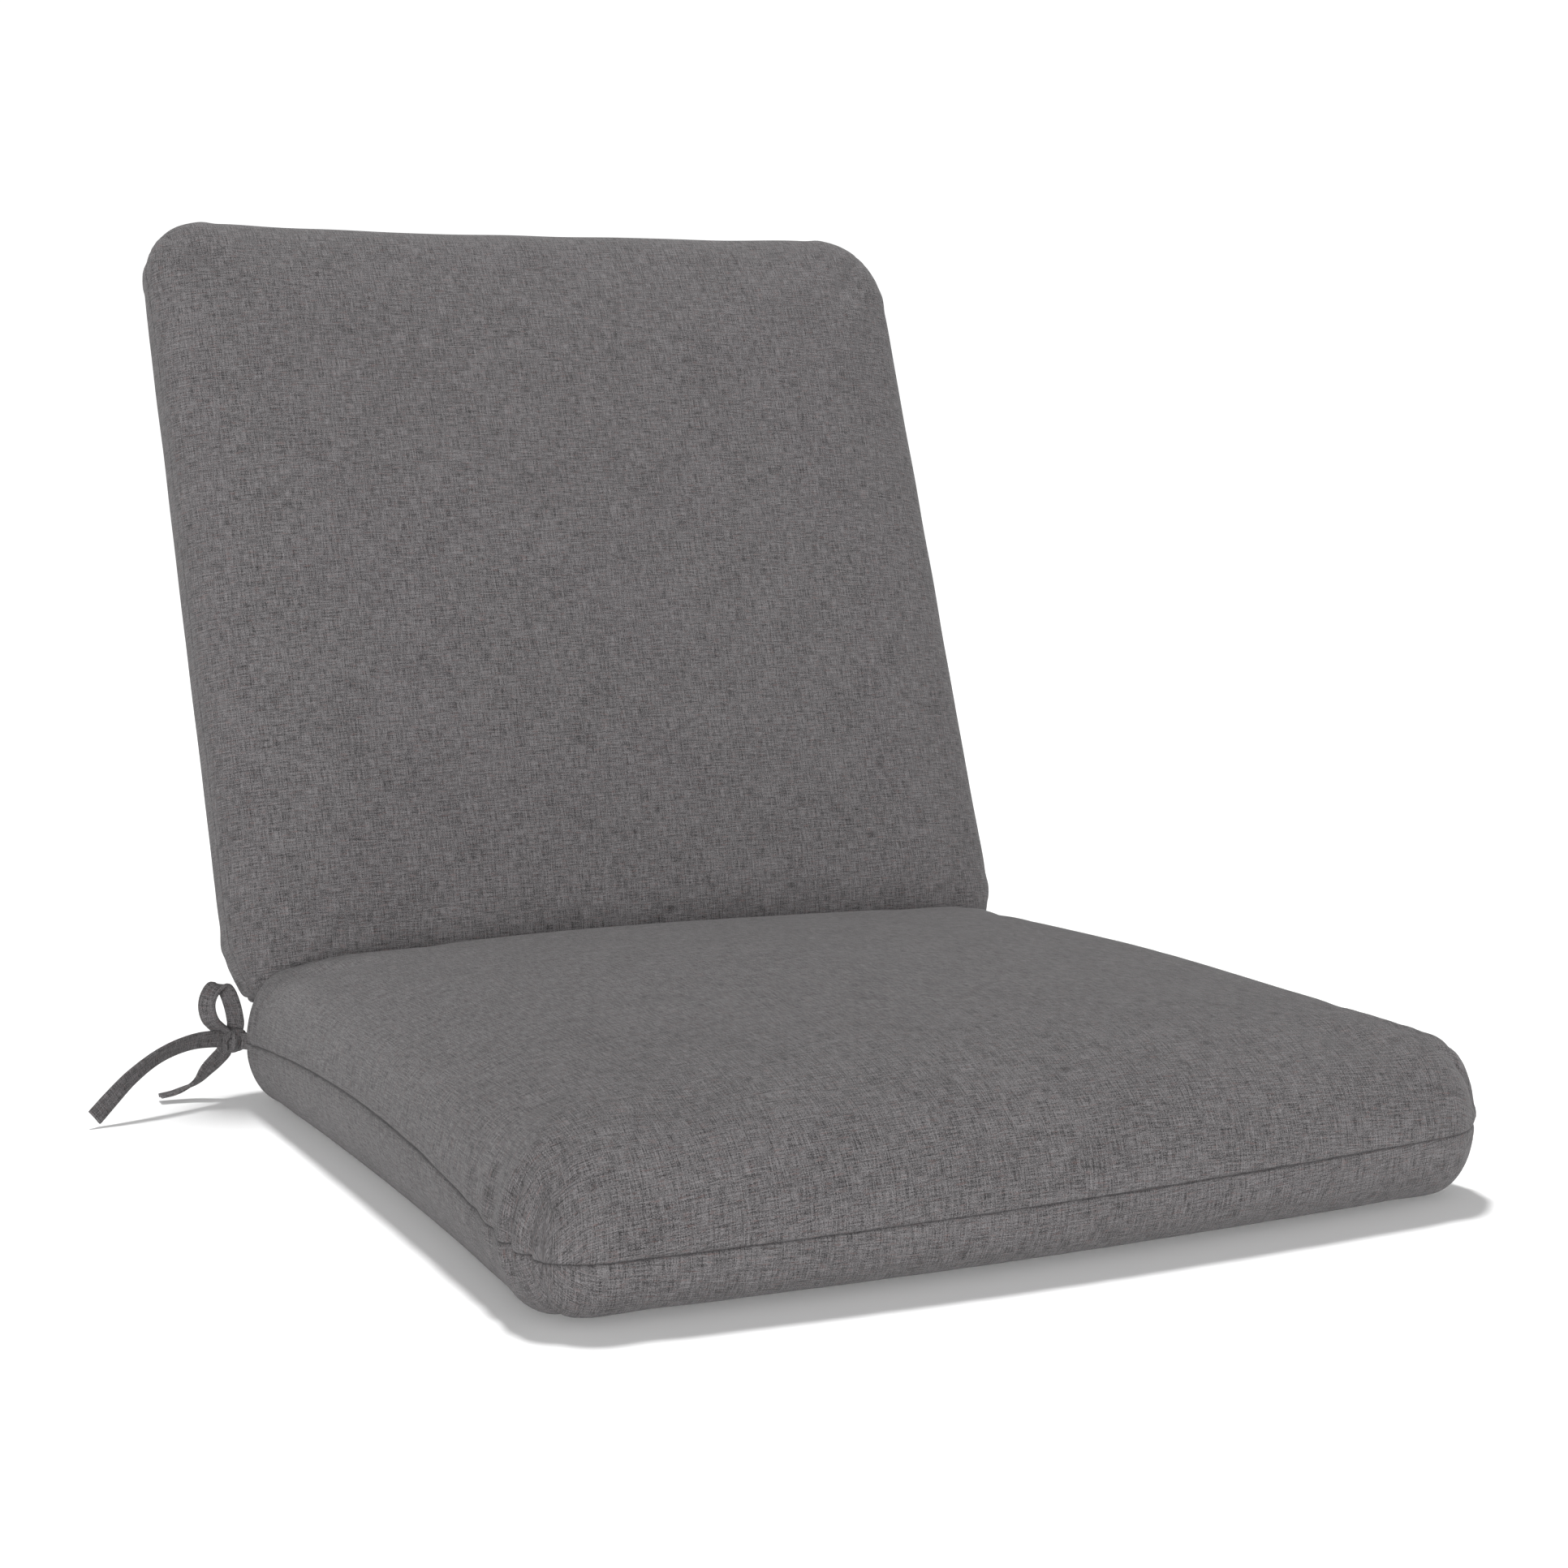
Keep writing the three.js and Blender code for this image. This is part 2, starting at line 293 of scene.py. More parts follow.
def smoothPath(points, count):
    # an even Catmull-Rom run through the points
    points = np.asarray(points, float)
    padded = np.vstack([2 * points[0] - points[1], points, 2 * points[-1] - points[-2]])
    fine = []
    for i in range(len(points) - 1):
        a, b, c, d = padded[i:i + 4]
        for t in np.linspace(0, 1, 24, endpoint=False):
            fine.append(0.5 * (2 * b + (c - a) * t + (2 * a - 5 * b + 4 * c - d) * t ** 2
                               + (3 * b - a - 3 * c + d) * t ** 3))
    fine = np.array(fine + [points[-1]])
    run = np.insert(np.cumsum(np.linalg.norm(np.diff(fine, axis=0), axis=1)), 0, 0)
    even = np.linspace(0, run[-1], count)
    return np.stack([np.interp(even, run, fine[:, k]) for k in range(3)], axis=1), run[-1]


# ties: two canvas straps at each rear corner of the seat, knotted in a bow with one loop and two tails

tie = dict(
    width=0.011, thickness=0.0019, sectionPoints=9,
    edge=0.00035, hem=0.6, hemEnd=0.9,  # how much fuller the folded edge is, where it starts and falls off
    turn=27,  # degrees that the bow is turned about the corner
    rootLength=0.018225, longSteps=120, bowSteps=170,
    sway=0.30, loopSlant=0.60, tailRise=0.65,  # how the straps tip along their way
    tailFrom=0.60, tailOver=0.07, twistFrom=0.70, twistOver=0.24,  # shares of the bow strap's length
    bandPoints=40, bandTilt=0.006,
    knotWidth=0.0105, knotReach=(0.0078, 0.0066), knotCore=(0.0068, 0.0064, 0.0058), knotGrain=0.0005,
)
# middle lines in millimetres from the knot's centre: sideways, up
longTailLine = [[11.5, 2.5], [28, 4], [45, 2.5], [62, -2], [80, -10.5], [95, -20.5], [108, -30]]
shortTailLine = [[6, -8.3], [11, -13], [16, -17.5], [21.5, -23.5], [27, -27], [37, -30.6], [46, -32]]
loopLine = [[-3.7, 8.9], [-3.4, 14], [-1.5, 22], [2.2, 31], [7, 36.2], [13, 35.8], [17.8, 30.5], [19.2, 23.5],
            [16.6, 15.5], [10, 8.9]]


def strap(name, path, across, width, thickness, material, closedLoop=False):
    # a flat strap along a path; across is the direction of its width at each point
    path, across = np.asarray(path), np.asarray(across, float)
    if closedLoop:
        along = np.roll(path, -1, axis=0) - np.roll(path, 1, axis=0)
    else:
        along = np.gradient(path, axis=0)
    along /= np.linalg.norm(along, axis=1, keepdims=True)
    across = across - (across * along).sum(1, keepdims=True) * along
    across /= np.linalg.norm(across, axis=1, keepdims=True)
    face = np.cross(along, across)
    # outline of the strap's section: a flat folded tape with a slightly fuller edge on both sides
    half, thin, edge = width / 2, thickness / 2, tie["edge"]
    section = []
    for place in np.linspace(-1, 1, tie["sectionPoints"]):
        full = thin + edge * (abs(place) > tie["hem"]) - edge * 10 * max(0, abs(place) - tie["hemEnd"])
        section.append((place * half * 0.97, full))
    section = section + [(half, 0)] + [(a, -b) for a, b in section[::-1]] + [(-half, 0)]
    section = np.array(section)
    wide, deep = section[None, :, 0, None], section[None, :, 1, None]
    rings = path[:, None] + wide * across[:, None] + deep * face[:, None]
    count, ring = rings.shape[:2]
    run = np.insert(np.cumsum(np.linalg.norm(np.diff(path, axis=0), axis=1)), 0, 0)
    girth = np.insert(np.cumsum(np.linalg.norm(np.diff(section, axis=0), axis=1)), 0, 0)
    faces, uv = [], []
    total = count if closedLoop else count - 1
    for i in range(total):
        following = (i + 1) % count
        runEnd = run[following] if following else run[i] + run[1]
        for j in range(ring):
            nextOne = (j + 1) % ring
            girthEnd = girth[nextOne] if nextOne else girth[j] + 0.001
            faces.append((i * ring + j, i * ring + nextOne, following * ring + nextOne, following * ring + j))
            uv += [(girth[j], run[i]), (girthEnd, run[i]), (girthEnd, runEnd), (girth[j], runEnd)]
    points = rings.reshape(-1, 3)
    if not closedLoop:
        for end, start in ((0, 0), (1, (count - 1) * ring)):
            middle = len(points)
            points = np.vstack([points, path[-1 if end else 0]])
            for j in range(ring):
                pair = (start + j, start + (j + 1) % ring)
                faces.append((pair[0], pair[1], middle) if end else (pair[1], pair[0], middle))
                uv += [(girth[j], run[-1 if end else 0])] * 3
    made = meshObject(name, points, faces, material)
    setCloth(made.data, uv)
    return made


def turned(vectors, degrees):
    angle = math.radians(degrees)
    cos, sin = math.cos(angle), math.sin(angle)
    spin = np.array(((cos, sin, 0), (-sin, cos, 0), (0, 0, 1)))
    return np.asarray(vectors, float) @ spin


def makeTies(side, prefix):
    low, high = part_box(f"{prefix}_tie_knot")
    knot = np.array([(low[k] + high[k]) / 2 for k in range(3)])
    angle = -side * tie["turn"]
    outward = turned([[side, 0, 0]], angle)[0]
    widthWay = turned([[0, -1, 0]], angle)[0]
    corner = knot + np.array((-side, -1, 0)) * tie["rootLength"] / math.sqrt(2)
    up = np.array((0, 0, 1.0))

    def place(line, way):  # points of a strap's middle line, from the knot's centre
        return np.array([knot + way * (x / 1000) + up * (z / 1000) for x, z in line])

    # the long strap: sewn into the corner, through the knot, out to the long tail, whose face stays upright
    inward = np.linspace(corner, knot, 4)[:-1]
    longLine = np.vstack([inward, place([[3, 0.5]] + longTailLine, outward)])
    path, length = smoothPath(longLine, tie["longSteps"])
    share = np.linspace(0, 1, len(path))[:, None]
    across = up + widthWay * (tie["sway"] * np.sin(share * 5.2 - 0.9) + 0.1)
    longStrap = strap(prefix + "LongTie", path, across, tie["width"], tie["thickness"], tieCanvas)
    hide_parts(f"{prefix}_tie_root", f"{prefix}_tie_long_tail")

    # the bow strap: up round the loop and back, then out to the short tail, which twists until it lies flat
    loop = place([[-1, 1.5]] + loopLine + [[3, 2.5]], outward)
    sideways = np.array((side, 0, 0))
    bowLine = np.vstack([loop, place([[2, -3.5]] + shortTailLine, sideways)])
    bowPath, bowLength = smoothPath(bowLine, tie["bowSteps"])
    share = np.linspace(0, 1, len(bowPath))[:, None]
    inLoop = widthWay * 0.80 - outward * tie["loopSlant"] + up * 0.16 * np.cos(share * 9)
    facing = outward * 0.75 + up * tie["tailRise"]
    flat = np.array((0, -1.0, 0.10))
    intoTail = smoothStep((share - tie["tailFrom"]) / tie["tailOver"])
    twist = smoothStep((share - tie["twistFrom"]) / tie["twistOver"])
    across = (inLoop * (1 - intoTail) + facing * intoTail) * (1 - twist) + flat * twist
    bowStrap = strap(prefix + "BowTie", bowPath, across, tie["width"], tie["thickness"], tieCanvas)
    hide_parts(f"{prefix}_tie_loop", f"{prefix}_tie_short_tail")

    knotPiece = makeKnot(prefix, knot, outward, widthWay)
    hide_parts(f"{prefix}_tie_knot")
    for piece in (longStrap, bowStrap, knotPiece):
        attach(piece, "seat")
    print(prefix, "tie: long strap", round(length, 4), "bow strap", round(bowLength, 4))


def makeKnot(prefix, centre, outward, widthWay):
    # two bands wrapped round each other and over a small core, fused into one crumpled knot
    up = np.array((0, 0, 1.0))
    a, b = tie["knotReach"]
    around = np.linspace(0, 2 * math.pi, tie["bandPoints"], endpoint=False)
    bands = []
    for index, (axis, other, first, second, tilt) in enumerate((
            (outward, up, a * 0.86, b * 1.02, 0.22), (widthWay, outward, a * 0.98, a * 0.86, -0.30))):
        third = np.cross(axis, other)
        path = centre + (np.cos(around)[:, None] * other * first + np.sin(around)[:, None] * third * second)
        path = path + axis * (np.sin(around)[:, None] * tilt * tie["bandTilt"])
        bands.append(strap(f"{prefix}Band{index}", path, np.tile(axis, (len(path), 1)), tie["knotWidth"],
                           tie["thickness"] * 1.15, tieCanvas, closedLoop=True))
    core = bpy.data.objects.new(prefix + "Core", bpy.data.meshes.new(prefix + "Core"))
    scene.collection.objects.link(core)
    ball = bmesh.new()
    bmesh.ops.create_icosphere(ball, subdivisions=3, radius=1)
    frameIn = np.array((outward, widthWay, up))
    for vertex in ball.verts:
        local = np.array(vertex.co) * tie["knotCore"]
        vertex.co = centre + local @ frameIn
    ball.to_mesh(core.data)
    ball.free()
    core.data.materials.append(tieCanvas)
    whole = bmesh.new()
    for part in bands + [core]:
        whole.from_mesh(part.data)
        bpy.data.objects.remove(part)
    mesh = bpy.data.meshes.new(prefix + "Knot")
    whole.to_mesh(mesh)
    whole.free()
    mesh.materials.append(knotCanvas)
    made = bpy.data.objects.new(prefix + "Knot", mesh)
    scene.collection.objects.link(made)
    remesh = made.modifiers.new("fuse", "REMESH")
    remesh.mode = "VOXEL"
    remesh.voxel_size = tie["knotGrain"]
    remesh.use_smooth_shade = True
    soften = made.modifiers.new("soften", "SMOOTH")
    soften.iterations = 3
    soften.factor = 0.5
    bakeModifiers(made, prefix + "Knot")
    return made


makeTies(-1, "left")
makeTies(1, "right")


# pads: the shape of each face over its plan, then inflated as cloth, then sewn at the seam

# Rise is how far a face stands out of the seam's plane, Crown what it gains in the middle, and Round how far
# in from the seam it reaches its height. "far" is the end away from the hinge, "low" the underside or rear.
seatPad = dict(
    name="seatPad", body="seat", width=0.5594, length=0.5445, hingeEnd=1,
    topRise=0.0530, topCrown=0.0235, lowRise=0.0355, lowCrown=0.0,
    sideRound=0.039, farRound=0.052, hingeRound=0.034, lowRound=0.025, lowFarRound=0.026,
    corner=0.0415, cornerSkew=0.0, hingeCorner=0.038, hingeTaper=0.0, taperLength=0.05,
    sidePull=0.003, farPull=-0.0150, farWiden=0.0025, farShift=0.0025, farSkew=0.0, ears=0.0,
    seamLift=0.016, seamSkew=0.004, frontLift=0.0015, frontReach=0.100, sideSwell=0.0,
    slack=0.98, cap=0.012, creaseReach=16, crease=0.45, swell=0.5, lowEase=0.35,
    seed=3, folds=1.0, foldSign=(-1, -1),
)
backPad = dict(
    name="backPad", body="back", width=0.563, length=0.5485, hingeEnd=-1,
    topRise=0.0255, topCrown=0.011, lowRise=0.0245, lowCrown=0.003,
    sideRound=0.046, farRound=0.052, hingeRound=0.042, lowRound=0.012, lowFarRound=0.026,
    corner=0.050, cornerSkew=0.007, hingeCorner=0.014, hingeTaper=0.011, taperLength=0.045,
    sidePull=0.0015, farPull=0.003, farWiden=0.001, farShift=-0.007, farSkew=0.0062, ears=0.0015,
    seamLift=0.0, seamSkew=0.0, frontLift=0.0, frontReach=0.1, sideSwell=0.006,
    slack=0.98, cap=0.012, creaseReach=16, crease=0.35, swell=0.5, lowEase=1.0,
    seed=8, folds=0.15, foldSign=(-1, -1),
)
seam = dict(depth=0.0008, width=0.0008, pull=0.0005, pullWidth=0.006, shadeWidth=0.00048, lowFoldReach=0.022)
padMesh = dict(edgeStep=0.0024, edgeBand=0.045, middleStep=0.0055, clothStep=0.0075, clothBand=0.03,
               clothMiddle=0.011)
clothSim = dict(steps=20, quality=5, mass=0.3, stretch=12, shear=4, bend=0.25, pressure=4.0)
lean = math.radians(20)
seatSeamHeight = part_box("seat_cover_bottom")[1].z
backUp = np.array((0, math.sin(lean), math.cos(lean)))
backForward = np.array((0, -math.cos(lean), math.sin(lean)))
backDrop = 0.035  # how far the back pad hangs below the hinge, behind the seat
backSeam = np.array((0.0035, hingePoint.y + 0.022, hingePoint.z - 0.002)) - backUp * backDrop
padPlace = {
    "seatPad": (np.array((0, 0, seatSeamHeight)), np.eye(3)),
    "backPad": (backSeam + backUp * backPad["length"] / 2,
                np.array(((1, 0, 0), backUp, backForward)).T),
}
fullness = 2.25  # how square the edge of a filled pad is: 2 is a round edge
floorGap = 0.0002
lowWeaveShift = (1.37, 0.71)  # so that the weave of the lower cover doesn't repeat the upper one's


def edgeRun(rise, rounding, step, band):
    # distances in from the seam whose arcs over the rounded edge are even, with close rows at the seam itself
    angle = np.linspace(0, math.pi / 2, 600)
    inward = rounding * (1 - np.cos(angle) ** (2 / fullness))
    upward = rise * np.sin(angle) ** (2 / fullness)
    arc = np.insert(np.cumsum(np.hypot(np.diff(inward), np.diff(upward))), 0, 0)
    full = arc[-1] + band
    rows = np.concatenate([[0, 0.0004, 0.0009, 0.0017], np.linspace(0.0032, full, int(full / step))])
    inward = np.append(inward, rounding + band)
    return np.interp(rows, np.append(arc, full), inward), rows


def gridLine(half, rise, lowEdge, highEdge, step, band, middle):
    # positions from -half to half and how far each is from the nearest seam over the surface
    first, firstArc = edgeRun(rise, lowEdge, step, band)
    last, lastArc = edgeRun(rise, highEdge, step, band)
    gap = 2 * half - first[-1] - last[-1]
    count = max(2, int(round(gap / middle)))
    between = np.linspace(first[-1], 2 * half - last[-1], count + 1)[1:-1]
    position = np.concatenate([first, between, 2 * half - last[::-1]]) - half
    arcs = np.concatenate([firstArc, firstArc[-1] + between - first[-1], lastArc[::-1]])
    return position, np.minimum(arcs, 1)


def padGrid(pad, step, band, middle):
    ends = (pad["farRound"], pad["hingeRound"])
    if pad["hingeEnd"] < 0:
        ends = ends[::-1]
    rise = pad["topRise"]
    xs, arcX = gridLine(pad["width"] / 2, rise, pad["sideRound"], pad["sideRound"], step, band, middle)
    ys, arcY = gridLine(pad["length"] / 2, rise, *ends, step, band, middle)
    return xs, ys, np.minimum(arcX[:, None], arcY[None, :])


def softMin(a, b):
    reach = 0.9 * np.minimum(a, b) + 1e-9
    overlap = np.maximum(reach - abs(a - b), 0) / reach
    return np.minimum(a, b) - overlap ** 2 * reach / 4


def padSurface(pad, xs, ys, upper, inset=0.0):
    # points of one face over a grid, in the pad's own frame: x across, y along, z out of the seam's plane
    halfX, halfY = pad["width"] / 2 - inset, pad["length"] / 2 - inset
    lineX, lineY = xs * halfX / (pad["width"] / 2), ys * halfY / (pad["length"] / 2)
    flatX, flatY = np.meshgrid(lineX, lineY, indexing="ij")
    toHinge = flatY * pad["hingeEnd"]  # grows towards the hinge
    farCorner = pad["corner"] + pad["cornerSkew"] * np.sign(flatX)
    corner = np.where(toHinge > 0, pad["hingeCorner"], farCorner) - inset
    intoX = np.maximum(abs(flatX) - (halfX - corner), 0)
    intoY = np.maximum(abs(flatY) - (halfY - corner), 0)
    reach = np.hypot(intoX, intoY)
    both = (intoX > 0) & (intoY > 0)
    keep = np.where(both, np.maximum(intoX, intoY) / np.maximum(reach, 1e-9), 1)
    x = flatX - np.sign(flatX) * intoX * (1 - keep)
    y = flatY - np.sign(flatY) * intoY * (1 - keep)
    alongX, alongY = flatX / halfX, flatY / halfY
    x = x - pad["sidePull"] * (1 - alongY ** 2) * alongX
    x = x - pad["hingeTaper"] * alongX * smoothStep(1 - (halfY - toHinge) / pad["taperLength"])
    up = (1 - toHinge / halfY) / 2  # 0 at the hinge, 1 at the far end
    x = x + pad["farWiden"] * alongX * up + pad["farShift"] * up
    far = np.clip(-toHinge / halfY, 0, 1)
    y = y + pad["hingeEnd"] * far * pad["farPull"] * (1 - alongX ** 2)
    y = y - pad["hingeEnd"] * far ** 4 * pad["ears"] * (smoothStep((abs(alongX) - 0.6) / 0.3) - 0.5)
    y = y - pad["hingeEnd"] * far ** 2 * pad["farSkew"] * alongX
    face = "top" if upper else "low"
    keys = ("sideRound", "farRound", "hingeRound") if upper else ("lowRound", "lowFarRound", "lowRound")
    sideRound, farRound, hingeRound = (pad[key] - inset for key in keys)
    nearSide = (halfX - abs(flatX)) / sideRound
    nearEnd = np.minimum((halfY + toHinge) / farRound, (halfY - toHinge) / max(hingeRound, 0.006))
    share = np.clip(softMin(nearSide, nearEnd), 0, 1)
    full = (1 - (1 - share) ** fullness) ** (1 / fullness)
    if not upper:  # the lower cover bulges out past the seam along its sides
        fromSeam = np.clip(nearSide, 0, 1)
        x = x + np.sign(flatX) * pad["sideSwell"] * 4 * fromSeam * (1 - fromSeam) * (1 - far ** 6)
    rise = pad[face + "Rise"] - inset
    if not upper and pad["frontLift"]:  # the underside rises towards the far edge, less at its corners
        slope = np.clip(1 - (halfY + toHinge) / pad["frontReach"], 0, 1) ** 1.15
        rise = rise - pad["frontLift"] * slope * (1 - abs(alongX) ** 5)
    z = rise * full + pad[face + "Crown"] * (1 - alongX ** 2) * (1 - alongY ** 2)
    # the side seams ride up midway, and the far one is higher at one end
    lift = pad["seamLift"] * (1 - alongY ** 2) * (1 - np.clip(nearSide, 0, 1)) ** 2
    lift = lift + pad["seamSkew"] * (alongX * far ** 2) * (1 - share) ** 2
    z = z + (lift if upper else -lift)
    return np.stack([x, y, z if upper else -z], axis=-1)


def closedGrid(top, low):
    # one closed mesh of two faces of the same grid that share their rim
    nx, ny = top.shape[:2]
    index = np.arange(nx * ny).reshape(nx, ny)
    rim = rimOf(nx, ny)
    lowIndex = index.copy()
    lowIndex[~rim] = nx * ny + np.arange((~rim).sum())
    points = np.vstack([top.reshape(-1, 3), low[~rim]])
    up = np.stack([index[:-1, :-1], index[1:, :-1], index[1:, 1:], index[:-1, 1:]], -1).reshape(-1, 4)
    down = np.stack([lowIndex[:-1, :-1], lowIndex[:-1, 1:], lowIndex[1:, 1:], lowIndex[1:, :-1]], -1)
    return points, np.vstack([up, down.reshape(-1, 4)])


def rimOf(nx, ny):
    rim = np.zeros((nx, ny), bool)
    rim[0, :] = rim[-1, :] = rim[:, 0] = rim[:, -1] = True
    return rim


def inflate(pad, top, low):
    # blows the pad up as cloth and gives back how far each point of both faces has moved
    points, faces = closedGrid(top, low)
    rim = rimOf(*top.shape[:2])
    soft = meshObject(pad["name"] + "Cloth", points, faces, padCanvas)
    soft.vertex_groups.new(name="seam").add(np.flatnonzero(rim.ravel()).tolist(), 1.0, "REPLACE")
    cloth = soft.modifiers.new("cloth", "CLOTH").settings
    cloth.vertex_group_mass = "seam"
    cloth.quality = clothSim["quality"]
    cloth.mass = clothSim["mass"]
    cloth.tension_stiffness = cloth.compression_stiffness = clothSim["stretch"]
    cloth.shear_stiffness = clothSim["shear"]
    cloth.bending_stiffness = clothSim["bend"]
    cloth.use_pressure = True
    cloth.uniform_pressure_force = clothSim["pressure"]
    cloth.effector_weights.gravity = 0
    for step in range(1, clothSim["steps"] + 1):
        scene.frame_set(step)
    moved = np.empty(len(points) * 3)
    evaluated = soft.evaluated_get(bpy.context.evaluated_depsgraph_get())
    evaluated.data.vertices.foreach_get("co", moved)
    scene.frame_set(1)
    bpy.data.objects.remove(soft)
    shift = moved.reshape(-1, 3) - points
    far = np.linalg.norm(shift, axis=1, keepdims=True)
    shift = shift * np.tanh(far / pad["cap"]) * pad["cap"] / np.maximum(far, 1e-9)
    topShift = shift[:top.shape[0] * top.shape[1]].reshape(top.shape)
    lowShift = topShift.copy()
    lowShift[~rim] = shift[top.shape[0] * top.shape[1]:]
    largest, mean = round(float(far.max()), 4), round(float(far.mean()), 4)
    print(pad["name"], "inflated, largest move", largest, "mean", mean)
    return overFoam(topShift, surfaceNormals(top), pad), overFoam(lowShift, -surfaceNormals(low), pad)


def overFoam(shift, outward, pad):
    # the foam keeps the cloth from drawing in: creases stay, and the broad movement only swells
    broad = shift.copy()
    for turn in range(pad["creaseReach"]):
        around = broad[:-2, 1:-1] + broad[2:, 1:-1] + broad[1:-1, :-2] + broad[1:-1, 2:]
        broad[1:-1, 1:-1] = (broad[1:-1, 1:-1] * 4 + around) / 8
    bulge = np.maximum((broad * outward).sum(-1, keepdims=True), 0)
    return (shift - broad) * pad["crease"] + outward * bulge * pad["swell"]


def curveWeights(known, wanted):
    # Catmull-Rom weights that carry values from the known rows to the wanted ones
    rows = np.arange(len(known), dtype=float)
    place = np.interp(wanted, known, rows)
    start = np.clip(place.astype(int), 0, len(known) - 2)
    t = place - start
    weights = np.zeros((len(wanted), len(known)))
    parts = (-0.5 * t + t ** 2 - 0.5 * t ** 3, 1 - 2.5 * t ** 2 + 1.5 * t ** 3,
             0.5 * t + 2 * t ** 2 - 1.5 * t ** 3, -0.5 * t ** 2 + 0.5 * t ** 3)
    for offset, part in zip((-1, 0, 1, 2), parts):
        np.add.at(weights, (np.arange(len(wanted)), np.clip(start + offset, 0, len(known) - 1)), part)
    return weights


def lengthsAlong(points, axis):
    steps = np.linalg.norm(np.diff(points, axis=axis), axis=-1)
    lengths = np.cumsum(np.insert(steps, 0, 0, axis=axis), axis=axis)
    return lengths - np.take(lengths, [lengths.shape[axis] // 2], axis=axis)


# folds gathered over the seam near a corner: which seam, how far from the corner, depth, half width, reach;
# foldSign's corner has them in full, and the others have weaker ones
cornerFolds = (
    ("side", 0.014, 0.0027, 0.0031, 0.032), ("side", 0.031, 0.0041, 0.0036, 0.044),
    ("side", 0.052, 0.0012, 0.0045, 0.045), ("side", 0.078, 0.0007, 0.0060, 0.040),
    ("end", 0.060, 0.0004, 0.0060, 0.026),
)
foldChange = dict(place=(0.75, 1.3), strength=(0.25, 0.5), slant=(-0.12, 0.2), startBand=0.02,
                  shoulder=0.4, shoulderPlace=1.9)  # the cloth stands up a little on both sides of a fold
seamEase = dict(waves=6, turn=1.0, rate=(45, 150), height=0.00009, reach=0.03)
faceHollows = dict(waves=7, turn=2.4, rate=(9, 26), height=0.00022)


def gathers(pad, xs, ys, arc, rng):
    # how far the surface dips at each grid point in the eased folds near the corners
    halfX, halfY = pad["width"] / 2, pad["length"] / 2
    flatX, flatY = np.meshgrid(xs, ys, indexing="ij")
    dip = np.zeros_like(flatX)
    for signX in (-1, 1):
        for signY in (-1, 1):
            fromSide, fromEnd = halfX - flatX * signX, halfY - flatY * signY
            near = (signX, signY) == pad["foldSign"]
            for seamSide, place, depth, width, run in cornerFolds:
                vary = 1 if near else rng.uniform(*foldChange["place"])
                strength = 1 if near else rng.uniform(*foldChange["strength"])
                across, along = (fromSide, fromEnd) if seamSide == "side" else (fromEnd, fromSide)
                offset = along - place * vary - rng.uniform(*foldChange["slant"]) * arc
                beside = abs(offset) - foldChange["shoulderPlace"] * width
                ridge = np.exp(-(offset / width) ** 2)
                ridge = ridge - foldChange["shoulder"] * np.exp(-(beside / width) ** 2)
                onSeam = smoothStep(1 - (across - arc) / foldChange["startBand"]) * (across < halfX)
                dip += pad["folds"] * strength * depth * ridge * np.exp(-(arc / run) ** 2) * onSeam
    return dip


def waves(xs, ys, kind, rng):  # a sum of slow ripples, each in its own direction
    flatX, flatY = np.meshgrid(xs, ys, indexing="ij")
    total = np.zeros_like(flatX)
    for index in range(kind["waves"]):
        rate, angle = rng.uniform(*kind["rate"]), index * kind["turn"]
        total += np.sin((flatX * math.cos(angle) + flatY * math.sin(angle)) * rate + rng.uniform(0, 6))
    return total * kind["height"]


def puckers(xs, ys, arc, rng):
    # slight ease along the whole seam and soft hollows over the faces
    ease = waves(xs, ys, seamEase, rng) * np.exp(-(arc / seamEase["reach"]) ** 2)
    return ease + waves(xs, ys, faceHollows, rng)


def surfaceNormals(points):
    normal = np.cross(np.gradient(points, axis=0), np.gradient(points, axis=1))
    return normal / np.maximum(np.linalg.norm(normal, axis=-1, keepdims=True), 1e-12)


def placed(points, pad):
    origin, turn = padPlace[pad["name"]]
    return points @ turn.T + origin


def sitOn(made, pad):  # the back's mesh stays in place as it is; the seat is one body
    if pad["body"] == "back":
        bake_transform(made)
    else:
        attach(made, pad["body"])


